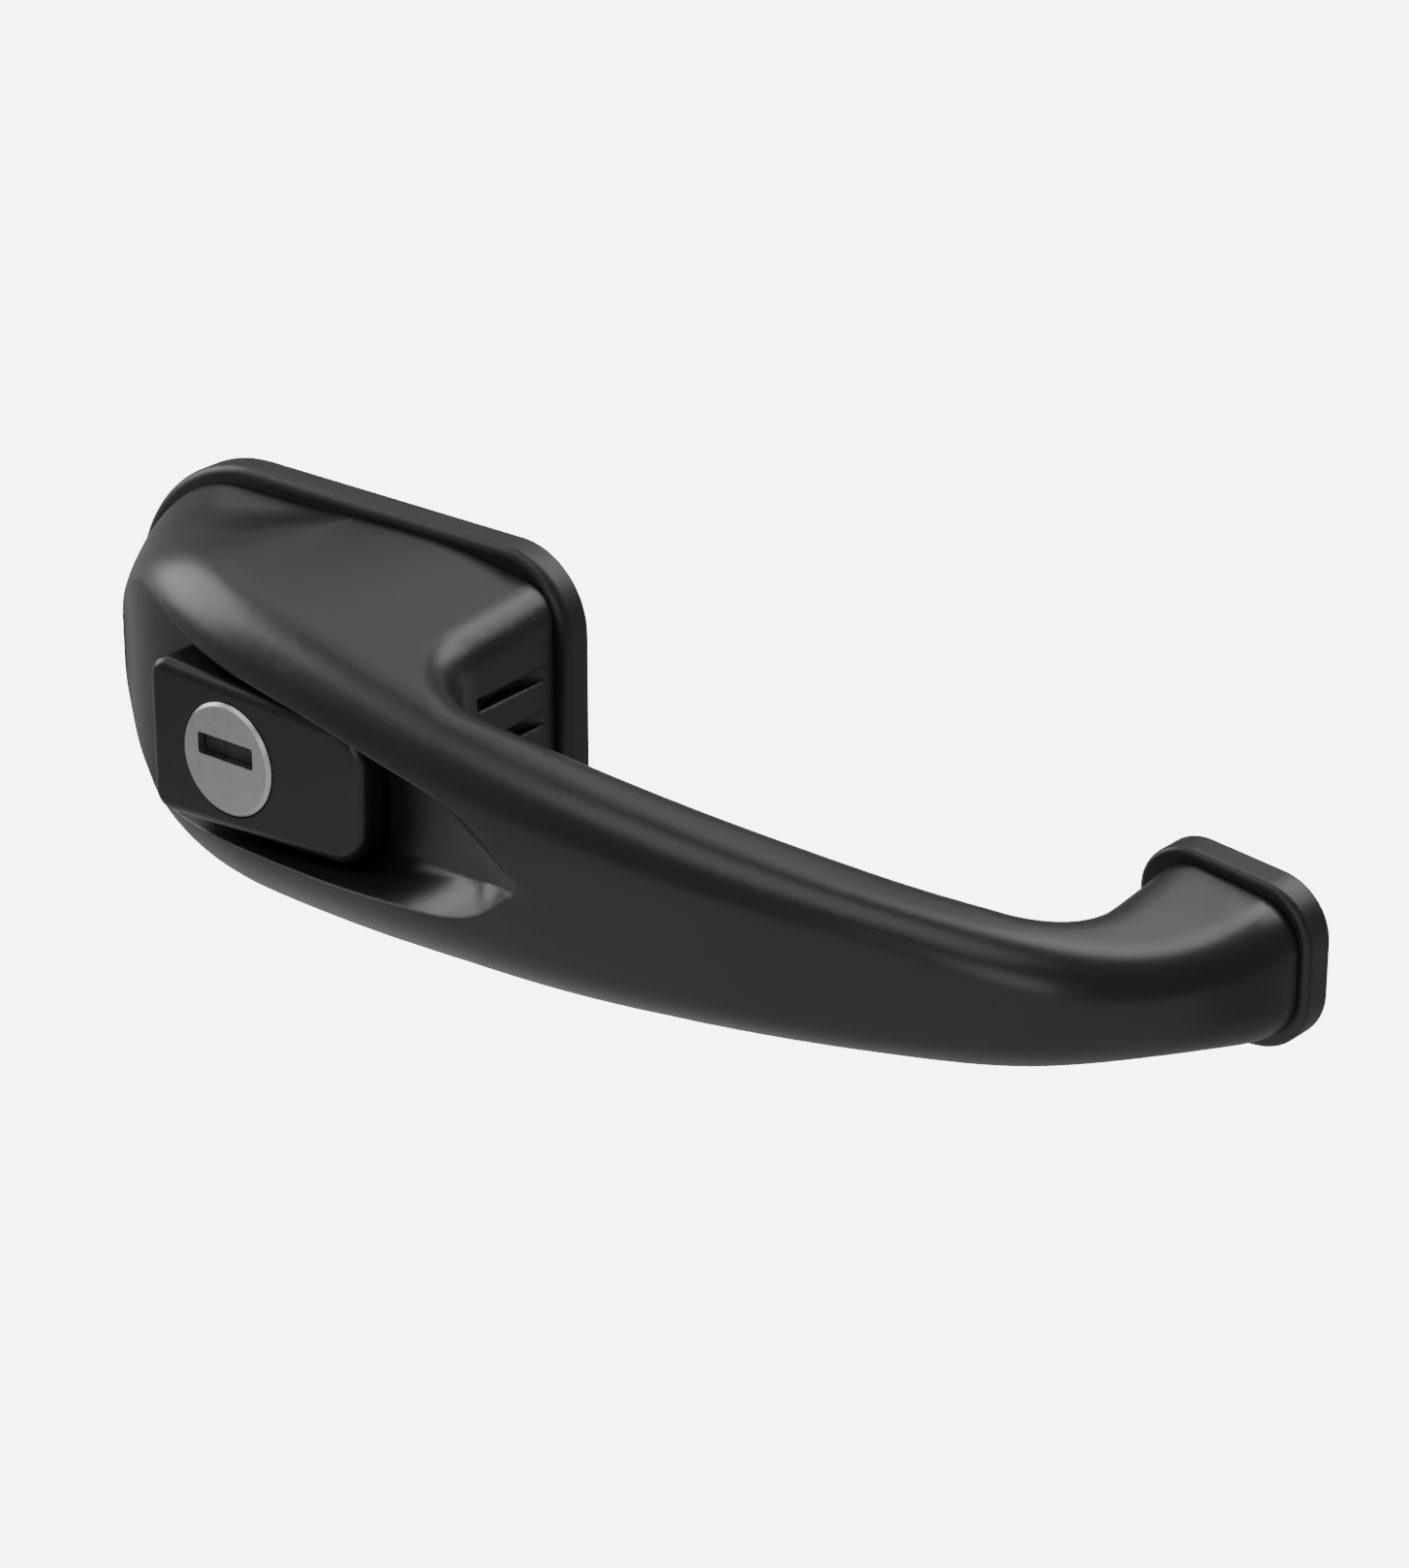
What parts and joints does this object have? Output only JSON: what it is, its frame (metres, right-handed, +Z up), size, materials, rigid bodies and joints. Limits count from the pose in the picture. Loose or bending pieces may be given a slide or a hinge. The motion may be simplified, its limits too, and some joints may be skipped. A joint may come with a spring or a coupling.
{
  "type": "locking door handle",
  "caption": "Arched pull handle with a push button and key lock in a hooded larger foot, a smaller foot on its far leg, rubber gaskets and a tail bar to work a latch behind the door",
  "frame": {"origin": "where the lock's axis meets the door's surface, at the back of the gaskets", "axes": "+X runs from the lock along the arm to the smaller foot, +Y goes into the door, the handle stands out towards -Y, +Z is up"},
  "size_m": [0.1864, 0.0564, 0.0458],
  "materials": {
    "black_moulding": "satin black glass-filled plastic with a fine spark texture",
    "button_moulding": "satin black plastic, a little smoother than the body",
    "gasket_rubber": "smooth black moulded rubber",
    "insert_brass": "turned brass",
    "zinc_steel": "bright zinc plate",
    "lock_zinc": "die-cast zinc, lightly tumbled",
    "spring_steel": "plain spring steel",
    "satin_cap": "satin pressed stainless steel",
    "wafer_brass": "stamped brass"
  },
  "bodies": {
    "handle": {"handle_body": "black_moulding", "large_gasket": "gasket_rubber", "small_gasket": "gasket_rubber", "large_foot_insert": "insert_brass", "small_foot_insert": "insert_brass", "back_plate": "zinc_steel", "plate_screws": "zinc_steel", "return_spring": "spring_steel"},
    "button": {"push_button": "button_moulding", "lock_barrel": "lock_zinc", "barrel_pin": "spring_steel", "seal_ring": "gasket_rubber", "stop_ring": "spring_steel"},
    "plug": {"lock_plug": "lock_zinc", "plug_cap": "satin_cap", "shutter_pin": "spring_steel", "wafer_1": "wafer_brass", "wafer_2": "wafer_brass", "wafer_3": "wafer_brass", "wafer_4": "wafer_brass", "wafer_5": "wafer_brass", "plug_clip": "spring_steel", "tail_bar": "zinc_steel", "tail_pin": "spring_steel"},
    "shutter": {"keyway_shutter": "satin_cap"}
  },
  "joints": [
    {"name": "button_press", "type": "slide", "parent": "handle", "child": "button", "axis": [0, 1, 0], "range_m": [0, 0.004], "stiffness_N_per_m": 1500, "springref_m": -0.004, "deforming": ["return_spring"]},
    {"name": "plug_turn", "type": "hinge", "parent": "button", "child": "plug", "pos_m": [0, 0, 0], "axis": [0, 1, 0], "range_deg": [0, 90]},
    {"name": "shutter_swing", "type": "hinge", "parent": "plug", "child": "shutter", "pos_m": [0, -0.03478, 0.00305], "axis": [1, 0, 0], "range_deg": [0, 75], "stiffness_Nm_per_rad": 0.002, "springref_deg": -17.19}
  ]
}
